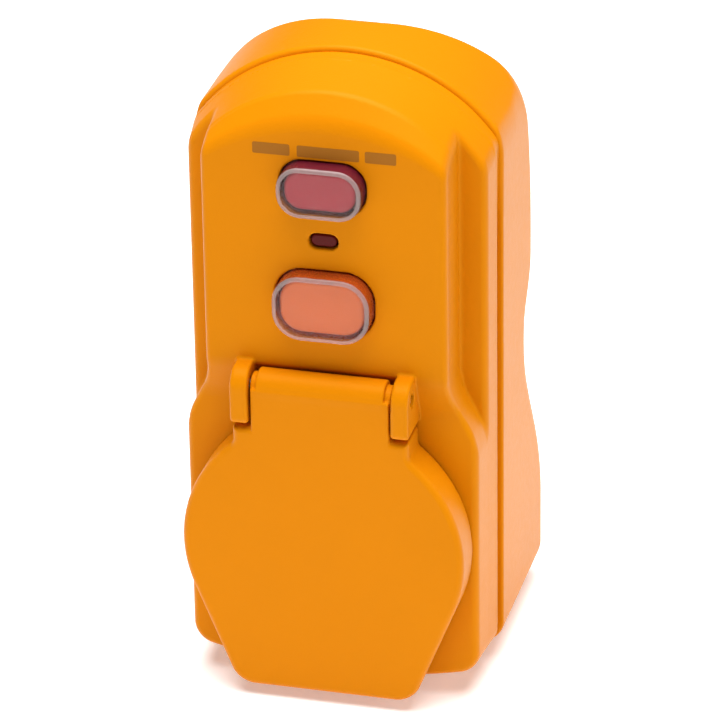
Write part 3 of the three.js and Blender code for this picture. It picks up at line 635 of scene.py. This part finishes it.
# The back's profile from the foot over the finger grip's waist, as depth and height.
GRIP = np.concatenate(
    [
        bezier([(WALL_Y, -14), (WALL_Y, 0), (WALL_Y - 10, 11), WAIST_LOW]),
        bezier([WAIST_LOW, (WAIST_Y, 25.5), (WAIST_Y - 0.4, WAIST_Z + 2), WAIST_HIGH])[1:],
        bezier([WAIST_HIGH, (WALL_Y - 12.5, 36.5), (UPPER_BACK, 39.5), (UPPER_BACK, 45)])[1:],
    ]
)
GRIP_SLOPE = np.gradient(GRIP[:, 0], GRIP[:, 1])
BACK_EDGE = 7.0  # rounding between the back and the sides
CROWN_EDGE = 4.0  # rounding between the back and the arch


def rear_body(x, y, z):
    """The rear shell's outer form as a solid, open forwards."""
    lean = np.interp(z, GRIP[:, 1], GRIP_SLOPE)
    grip = (y - np.interp(z, GRIP[:, 1], GRIP[:, 0])) / np.sqrt(1 + lean * lean)
    depth, rise = UPPER_BACK - TOP_Y, REAR_APEX - TOP_Z
    u = np.maximum(y - TOP_Y, 0)
    v = np.maximum(z - TOP_Z, 0)
    reach = length(u / depth, v / rise)
    pull = np.maximum(length(u / depth**2, v / rise**2), 1e-4)
    curve = (reach - 1) * reach / pull
    back = np.where(z > TOP_Z, np.minimum(curve, 30), grip)
    rounded = both(np.abs(x) - REAR_HALF, back, BACK_EDGE)
    # Where the back and the arch both face up, there is no edge between them to round.
    upright = (v / rise**2) / pull * np.clip((z - REAR_APEX + REAR_ARCH) / REAR_ARCH, 0, 1)
    edge = CROWN_EDGE * np.clip(1 - upright, 0.02, 1)
    crowned = both(rounded, dome(x, z, REAR_APEX, REAR_ARCH), edge)
    return both(crowned, base(x, z, REAR_FOOT), FOOT_CORNER)


def rear_shell(x, y, z):
    rim_wall = 1.6  # beside the front shell's tongue
    seat = TONGUE_END + 1.6
    body = rear_body(x, y, z)
    outer = both(body, REAR_Y - y, np.interp(z, GROOVE_RISE, REAR_LIP))
    hollow = either(both(body + WALL, seat - y), both(body + rim_wall, y - seat - 0.1))
    shell = without(outer, hollow, 0.15)
    for _, low, high in CASE_SCREWS:
        across = from_axis(x, z, low, high)
        post = both(rod(across, y, REAR_POST, seat, 0, 0.2), outer + 0.6)
        shell = either(shell, post, 0.3)
        shell = without(shell, both(length(*across) - HEAD_BORE, HEAD_SEAT - y), 0.3)
        shell = without(shell, length(*across) - CASE_BORE, 0.1)
    return without(shell, both(length(x, z) - PLUG_RADIUS - CLEARANCE, PLUG_HOLE_START - y), 0.4)


# ---------------------------------------------------------------- flap

FLAP_BACK = FLAP_FRONT + 8.3
FLAP_PLATE, FLAP_SKIRT = 2.2, 2.0  # thickness of its front and of its rim
TAB_HALF, TAB_TOP = 17.36, 25.7
CHIN_ANGLE, CHIN_SLOPE = -0.381, 0.4  # where on the disc the chin starts, and how it narrows


def flap_outline(x, z):
    """The flap seen from the front: a disc, a tab up to the hinge and a flat chin."""
    ax = np.abs(x)
    disc = length(x, z) - FLAP_RADIUS
    tab = both(both(ax - TAB_HALF, z - TAB_TOP, 0.6), -z)
    chin_x = FLAP_RADIUS * math.cos(CHIN_ANGLE)
    chin_z = FLAP_RADIUS * math.sin(CHIN_ANGLE)
    flank = (ax - chin_x - CHIN_SLOPE * (z - chin_z)) / math.hypot(1, CHIN_SLOPE)
    chin = both(both(flank, FLAP_CHIN - z, 3.2), z - chin_z)
    return either(either(disc, tab, 0.5), chin)


def socket_flap(x, y, z):
    ax = np.abs(x)
    outline = flap_outline(x, z)
    pan = both(both(outline, FLAP_FRONT - y, 1.3), y - FLAP_BACK, 0.5)
    hollow = both(both(outline + FLAP_SKIRT, FLAP_FRONT + FLAP_PLATE - y, 0.8), y - FLAP_BACK - 2)
    pan = without(pan, hollow, 0.3)
    web = slab(
        ax - WEB_HALF,
        span(z, TAB_TOP - 2, HINGE_Z + 0.4),
        span(y, FLAP_FRONT, FLAP_FRONT + FLAP_PLATE),
        r=0.3,
    )
    barrel = both(length(y - HINGE_Y, z - HINGE_Z) - BARREL, ax - BARREL_HALF, 0.35)
    hub = both(length(y - HINGE_Y, z - HINGE_Z) - HUB, ax - WEB_HALF - 0.2, 0.2)
    whole = either(either(either(pan, web), barrel, 0.3), hub, 0.2)
    open_back = span(y, HINGE_Y, HINGE_Y + 5)
    room = slab(ax - SPRING_HALF, open_back, span(z, HINGE_Z - SPRING_ROOM, HINGE_Z + 2))
    coil_room = both(length(y - HINGE_Y, z - HINGE_Z) - SPRING_ROOM, ax - SPRING_HALF)
    whole = without(whole, either(room, coil_room), 0.15)
    return without(whole, length(y - HINGE_Y, z - HINGE_Z) - HINGE_BORE, 0.1)


def flap_seal(x, y, z):
    """A soft ring with a lip that meets the socket's rim."""
    low, high = box_mm("flap_seal")
    middle, half = high[0] - 1.0, 0.85
    radius = length(x, z)
    foot = both(np.abs(radius - middle) - half, span(y, low[1], low[1] + 1.6), 0.3)
    lip = both(np.abs(radius - middle) - 0.45, span(y, low[1], high[1]), 0.4)
    return either(foot, lip, 0.5)


# ---------------------------------------------------------------- buttons

def boot_field(button):
    """A clear cap with a thin front inside a raised bead, thick walls and a flange behind them."""

    def field(x, y, z):
        front = PANEL_Y - BOOT_PROUD
        cap = both(button_outline(x, z, button), front - y, 0.6)
        cap = both(cap, y - PANEL_Y - 3.8)
        behind = span(y, PANEL_Y + 2.8, PANEL_Y + 3.8)
        flange = both(button_outline(x, z, button, BOOT_FLANGE), behind)
        hollow = both(button_outline(x, z, button, -BOOT_WALL), front + 1.0 - y, 0.5)
        dish = both(button_outline(x, z, button, -BOOT_BEAD_WIDTH), y - front - 0.2)
        return without(without(either(cap, flange, 0.2), hollow, 0.1), dish, 0.15)

    return field


def paint_boot_light(piece, button, walls):
    """The bead round a boot's front is painted paler and more opaque, a painted highlight, and its walls are
    painted with the cap's colour, darkened as painted shade of the gap behind them.
    """
    piece.data.materials.append(BOOT_BEAD_HIGHLIGHT)
    piece.data.materials.append(walls)
    centres = np.zeros(3 * len(piece.data.polygons))
    piece.data.polygons.foreach_get("center", centres)
    x, y, z = centres.reshape(-1, 3).T / MM
    bead_back = PANEL_Y - BOOT_PROUD + 0.5
    # Painted highlight on the bead's faces.
    bead_highlight_faces = (y < bead_back) & (button_outline(x, z, button, -BOOT_BEAD_WIDTH) > 0)
    # Painted shade on the walls: the cap's colour, darkened.
    wall_painted_shade = (y > bead_back) & (button_outline(x, z, button, -BOOT_WALL - 0.05) > 0)
    index = np.where(bead_highlight_faces, 1, np.where(wall_painted_shade, 2, 0))
    piece.data.polygons.foreach_set("material_index", index.astype(np.int32))


def button_field(button, stem, stem_end):
    """A solid key inside the boot, on a round stem of that radius."""

    def field(x, y, z):
        front = PANEL_Y - BOOT_PROUD + 1.35
        cap = both(button_outline(x, z, button, -1.32), front - y, 0.6)
        cap = both(cap, y - PANEL_Y - 4.5, 0.2)
        shaft = rod((x, z - button[0]), y, stem, PANEL_Y + 4, stem_end, 0.3)
        return either(cap, shaft, 0.5)

    return field


def lens_outline(x, z, grow):
    """The lens window, with rounded ends, made larger by grow."""
    half_x, half_z = LENS_HALF_X + grow, LENS_HALF_Z + grow
    return rounded_rectangle(x, z - LENS_Z, half_x, half_z, half_z - 0.01)


def lens_field(x, y, z):
    body = lens_outline(x, z, -0.35)
    flange = lens_outline(x, z, 0.9)
    body = both(body, span(y, PANEL_Y + 0.5, PANEL_Y + 3.3), 0.4)
    return either(body, both(flange, span(y, PANEL_Y + 2.7, PANEL_Y + 3.7), 0.2), 0.1)


# ---------------------------------------------------------------- fixings and hinge pin

def hinge_pin(x, y, z):
    low, high = box_mm("hinge_pin")
    return rod((y - HINGE_Y, z - HINGE_Z), x, (high[2] - low[2]) / 2, low[0], high[0], 0.4)


def screw_field(low, high, shank):
    """A pan-head screw with a cross recess in its head, which faces the back."""
    head = (high[0] - low[0]) / 2
    tip, top = low[1], high[1]
    thick, pitch, crest, blade = 2.0, 1.1, 0.14, 0.42

    def field(x, y, z):
        u, w = x - (low[0] + high[0]) / 2, z - (low[2] + high[2]) / 2
        radius = length(u, w)
        crown = 2.2 * head
        pan = both(radius - head, span(y, top - thick, top), 0.5)
        pan = both(pan, length(radius, y - top + crown) - crown, 0.05)
        sink = 0.25 * (top - y)
        cross = np.minimum(
            both(np.abs(u) - blade + sink / 2, np.abs(w) - 0.62 * head + sink),
            both(np.abs(w) - blade + sink / 2, np.abs(u) - 0.62 * head + sink),
        )
        pan = without(pan, both(cross, top - 1.4 - y), 0.06)
        thread = crest * np.cos(2 * np.pi * y / pitch + np.arctan2(w, u))
        point = np.minimum(shank, 0.3 + 0.9 * (y - tip))
        stem = both((radius - point + crest - thread) * 0.8, span(y, tip, top - 1), 0.1)
        return either(pan, stem, 0.15)

    return field


# ---------------------------------------------------------------- socket and plug

def strip(along, across, thin, half_width, half_thick, low, high):
    """A flat spring strip with rounded edges."""
    wide = np.abs(across) - half_width
    return slab(span(along, low, high), wide, np.abs(thin) - half_thick, r=0.2)


def swell(y, middle, reach):
    """A smooth rise from 0 to 1 and back along a strip."""
    return np.cos(np.clip((y - middle) / reach, -1, 1) * np.pi / 2) ** 2


def socket_field(x, y, z):
    """The cup that takes a plug, with two keys, two pin holes and slots for the earth clip."""
    ax, az, radius = np.abs(x), np.abs(z), length(x, z)
    floor = SOCKET_FRONT + SOCKET_DEPTH
    flange = PANEL_Y + 5.9
    cup = both(radius - SOCKET_OUTER, span(y, SOCKET_FRONT, SOCKET_BACK), 0.3)
    cup = either(cup, both(radius - SOCKET_FLANGE, span(y, flange, flange + 1.5), 0.3), 0.3)
    cup = without(cup, both(radius - SOCKET_BORE, y - floor, 0.8), 0.5)
    key = slab(span(ax, 17.4, 20), span(y, SOCKET_FRONT + 1, floor + 1), az - 2.2, r=0.4)
    cup = either(cup, key, 0.3)
    hole = length(ax - PIN_X, z)
    raised = both(hole - PIN_HOLE - 2.2, span(y, floor - 0.5, floor + 1), 0.3)
    cup = either(cup, raised, 0.4)
    sink = np.clip(floor + 0.6 - y, 0, 1.3)
    cup = without(cup, (hole - PIN_HOLE - sink) / 1.3, 0.15)
    return without(cup, slab(ax - 3.2, span(az, 17.5, 19.3), floor - 1 - y), 0.15)


def socket_earth_field(x, y, z):
    """Two sprung arms, bowed inwards, on a strap behind the socket's floor."""
    low, high = box_mm("earth_clip")
    thick = 0.45
    bow = 1.1 * swell(y, low[1] + 6, 5) - 0.35 * swell(y, low[1], 2)
    arms = strip(y, x, np.abs(z) - high[2] + thick + bow, high[0], thick * 1.05, low[1], high[1])
    back = span(y, high[1] - 2 * thick, high[1])
    strap = slab(np.abs(x) - high[0], np.abs(z) - high[2] + 0.3, back, r=0.2)
    return either(arms, strap, 0.4)


def plug_field(x, y, z):
    """The plug's body: a round boss with notches for the earth clip and keyways at its sides."""
    ax, az, radius = np.abs(x), np.abs(z), length(x, z)
    body = both(radius - PLUG_RADIUS, span(y, PLUG_FRONT + 1, PLUG_FACE), 0.9)
    flange = both(radius - PLUG_FLANGE, span(y, PLUG_FRONT, PLUG_FRONT + 1.8), 0.3)
    whole = either(body, flange, 0.4)
    whole = without(whole, both(radius - PLUG_INNER, y - PLUG_FACE + 4, 0.5), 0.3)
    hole = length(ax - PIN_X, z)
    whole = without(whole, hole - PIN_RADIUS - 0.2, 0.25)
    ring = both(np.abs(hole - PIN_RADIUS - 2.0) - 0.35, PLUG_FACE - 0.4 - y)
    whole = without(whole, ring, 0.15)
    whole = without(whole, slab(ax - 3.6, span(az, 16.9, 19.0), r=0.3), 0.35)
    return without(whole, slab(span(ax, 16.9, 19.6), az - 2.6, PLUG_FACE - 17 - y, r=0.3), 0.35)


def pin_field(centre, tail, tip):
    """A round pin with a rounded nose, a shoulder behind the plug's face and a solder tail."""
    shoulder = PLUG_FACE - 4.3

    def field(x, y, z):
        radius = length(x - centre, z)
        shank = both(radius - PIN_RADIUS, span(y, shoulder - 1, tip), 1.5)
        collar = both(radius - 3.6, span(y, shoulder - 3, shoulder), 0.3)
        stub = both(radius - 1.6, span(y, tail, shoulder), 0.3)
        return either(either(shank, collar, 0.1), stub, 0.2)

    return field


def plug_earth_field(x, y, z):
    """Two strips along the plug's notches, bowed slightly outwards, on a strap inside it."""
    low, high = box_mm("plug_earth_clip")
    thick = 0.4
    inset = thick + 0.5 - 0.5 * swell(y, high[1] - 8, 7)
    arms = strip(y, x, np.abs(z) - high[2] + inset, high[0], thick, low[1], high[1])
    front = span(y, low[1], low[1] + 1)
    strap = slab(np.abs(x) - high[0], np.abs(z) - high[2] + 0.5, front, r=0.2)
    return either(arms, strap, 0.3)


# ---------------------------------------------------------------- assembly

# Grid cells in millimetres, and the share of the faces kept.
SHELL_CELL, SHELL_KEEP = 0.5, 0.45
SCREW_CELL = 0.16
CASE_SHANK, BOARD_SHANK = 1.4, 1.0  # radii of the screws' shanks


def shell_pieces():
    stand_in("front_case", "front_shell", front_shell, SHELL_CELL, SHELL_KEEP)
    stand_in("rear_case", "rear_shell", rear_shell, SHELL_CELL, SHELL_KEEP)
    for number, (node, low, high) in enumerate(CASE_SCREWS, 1):
        field = screw_field(low, high, CASE_SHANK)
        stand_in(f"case_screw_head_{number}", node, field, SCREW_CELL)
    for number, (node, low, high) in enumerate(BOARD_SCREWS, 1):
        field = screw_field(low, high, BOARD_SHANK)
        stand_in(f"board_screw_head_{number}", node, field, SCREW_CELL)


def flap_pieces():
    stand_in("flap_cover", "socket_flap", socket_flap, cell=0.4, keep=0.5)
    stand_in("flap_gasket", "flap_seal", flap_seal, cell=0.25, keep=0.6)
    stand_in("flap_pin", "hinge_pin", hinge_pin, cell=0.18)
    spring("flap_coil", "flap_spring", axis=0, wire=0.28, turns=9)


def button_pieces():
    # Name, sizes, stem radius, and the shares of boot and spring length left when pressed.
    buttons = (
        ("reset", RESET, 3.0, 0.73, 0.70),
        ("test", TEST, 2.0, 0.80, 0.77),
    )
    for name, sizes, stem, boot_keep, spring_keep in buttons:
        stem_end = box_mm(f"{name}_button")[1][1]
        field = button_field(sizes, stem, stem_end)
        stand_in(f"{name}_cap", f"{name}_button", field, cell=0.2, keep=0.6)
        cover = stand_in(f"{name}_cover", f"{name}_boot", boot_field(sizes), cell=0.2, keep=0.7)
        paint_boot_light(cover, sizes, BOOT_WALLS_PAINTED_SHADE[name])
        coil = spring(f"{name}_coil", f"{name}_spring", axis=1, wire=0.3, turns=5)
        for piece, node, keep in (
            (cover, f"{name}_boot", boot_keep),
            (coil, f"{name}_spring", spring_keep),
        ):
            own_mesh(piece)
    stand_in("indicator_window", "indicator_lens", lens_field, cell=0.12)


def connector_pieces():
    stand_in("socket_cup", "socket_insert", socket_field, cell=0.4, keep=0.6)
    stand_in("socket_earth_spring", "earth_clip", socket_earth_field, cell=0.2)
    stand_in("plug_body", "plug_insert", plug_field, cell=0.4, keep=0.6)
    stand_in("plug_earth_spring", "plug_earth_clip", plug_earth_field, cell=0.2)
    for pole in ("line", "neutral"):
        low, high = box_mm(f"plug_pin_{pole}")
        field = pin_field((low[0] + high[0]) / 2, low[1], high[1])
        stand_in(f"plug_pin_{pole}_turned", f"plug_pin_{pole}", field, cell=0.2, keep=0.7)


def trip_pieces():
    coil = spring("plunger_coil", "plunger_spring", axis=2, wire=0.22, turns=3)
    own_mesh(coil)


def print_bars():
    """Three plain bars where the panel carries a printed line."""
    corner, steps = 0.35, 5
    outline = []
    for turn in range(4):
        for step in range(steps + 1):
            angle = math.pi / 2 * (turn + step / steps)
            outline.append((turn in (0, 3), turn in (0, 1), math.cos(angle), math.sin(angle)))
    points, faces = [], []
    for left, right in PRINT_X:
        first = len(points)
        for y in (PANEL_Y - 0.03, PANEL_Y + 0.05):
            for at_right, at_top, out, over in outline:
                x = (right - corner if at_right else left + corner) + corner * out
                z = (PRINT_Z[1] - corner if at_top else PRINT_Z[0] + corner) + corner * over
                points.append((x * MM, y * MM, z * MM))
        count = len(outline)
        faces.append([first + i for i in range(count)])
        faces.append([first + count + i for i in range(count)][::-1])
        for i in range(count):
            a, b = first + i, first + (i + 1) % count
            faces.append([a, a + count, b + count, b])
    mesh = bpy.data.meshes.new("panel_print")
    mesh.from_pydata(points, [], faces)
    piece = place(mesh, "panel_print")
    mesh.materials.append(PRINT)
    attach(piece, "case")


def carried_pieces():
    """The CAD nodes that are shown as they are, with softened edges."""
    for name, slot in SLOT.items():
        node = frame["nodes"][name]
        if node.hide_render:
            continue
        node.data.materials.clear()
        node.data.materials.append(FINISH[slot])
        edges = node.modifiers.new("edges", "BEVEL")
        edges.width = 0.1 * MM
        edges.segments = 2
        edges.limit_method = "ANGLE"
        edges.angle_limit = math.radians(40)


def stage():
    size = 1.2
    mesh = bpy.data.meshes.new("floor")
    height = cad_low.z - 0.0005
    corners = [(-size, -size), (size, -size), (size, size), (-size, size)]
    mesh.from_pydata([(x, y, height) for x, y in corners], [], [(0, 1, 2, 3)])
    floor = place(mesh, "floor")
    material, tree, principled = shader("pale_floor")
    tone = tinted(tree, ranged(tree, noise(tree, 8), 0, 1), (0.93, 0.93, 0.93), (0.95, 0.95, 0.95))
    tree.links.new(tone, principled.inputs["Base Color"])
    principled.inputs["Roughness"].default_value = 0.8
    principled.inputs["Emission Color"].default_value = (1, 1, 1, 1)
    principled.inputs["Emission Strength"].default_value = 0.3
    mesh.materials.append(material)


def lamp(name, position, aim, size, power):
    data = bpy.data.lights.new(name, "AREA")
    data.shape = "DISK"
    data.size = size
    data.energy = power
    light = bpy.data.objects.new(name, data)
    bpy.context.scene.collection.objects.link(light)
    light.location = position
    light.rotation_mode = "QUATERNION"
    light.rotation_quaternion = (Vector(aim) - Vector(position)).to_track_quat("-Z", "Y")


def lights():
    """Soft lamps in a dim white room. The camera sees the room as a plain white backdrop."""
    world = bpy.data.worlds.new("studio")
    bpy.context.scene.world = world
    world.use_nodes = True
    tree = world.node_tree
    dim = tree.nodes["Background"]
    dim.inputs["Color"].default_value = (1, 1, 1, 1)
    dim.inputs["Strength"].default_value = 0.08
    backdrop = tree.nodes.new("ShaderNodeBackground")
    backdrop.inputs["Color"].default_value = (1, 1, 1, 1)
    backdrop.inputs["Strength"].default_value = 1.05
    seen = tree.nodes.new("ShaderNodeLightPath")
    choice = tree.nodes.new("ShaderNodeMixShader")
    tree.links.new(seen.outputs["Is Camera Ray"], choice.inputs["Fac"])
    tree.links.new(dim.outputs["Background"], choice.inputs[1])
    tree.links.new(backdrop.outputs["Background"], choice.inputs[2])
    tree.links.new(choice.outputs["Shader"], tree.nodes["World Output"].inputs["Surface"])
    aim = (0, -0.05, 0.03)
    lamp("top", (0.05, -0.15, 1.6), aim, size=1.5, power=56)
    lamp("right", (1.3, -0.1, 0.6), aim, size=0.9, power=3)
    lamp("front", (-0.7, -1.2, 0.35), aim, size=0.8, power=1.6)


def camera():
    """A long lens, from in front, to the right and above."""
    azimuth, elevation, roll = (math.radians(a) for a in (14.8, 27.0, -0.88))
    distance = 0.9494
    aim = Vector((6.41, PANEL_Y + 1.4, 39.17)) * MM
    back = Vector(
        (
            math.sin(azimuth) * math.cos(elevation),
            -math.cos(azimuth) * math.cos(elevation),
            math.sin(elevation),
        )
    )
    right = Vector((math.cos(azimuth), math.sin(azimuth), 0))
    up = back.cross(right)
    across = right * math.cos(roll) + up * math.sin(roll)
    over = up * math.cos(roll) - right * math.sin(roll)
    data = bpy.data.cameras.new("camera")
    data.lens = 250
    data.sensor_width = 36
    data.clip_start = 0.05
    data.clip_end = 20
    eye = bpy.data.objects.new("camera", data)
    bpy.context.scene.collection.objects.link(eye)
    eye.matrix_world = Matrix.Translation(aim + back * distance) @ Matrix(
        [(across[i], over[i], back[i]) for i in range(3)]
    ).to_4x4()
    bpy.context.scene.camera = eye


bpy.context.scene.view_settings.view_transform = "Standard"
camera()
lights()
stage()
shell_pieces()
flap_pieces()
button_pieces()
connector_pieces()
trip_pieces()
print_bars()
carried_pieces()
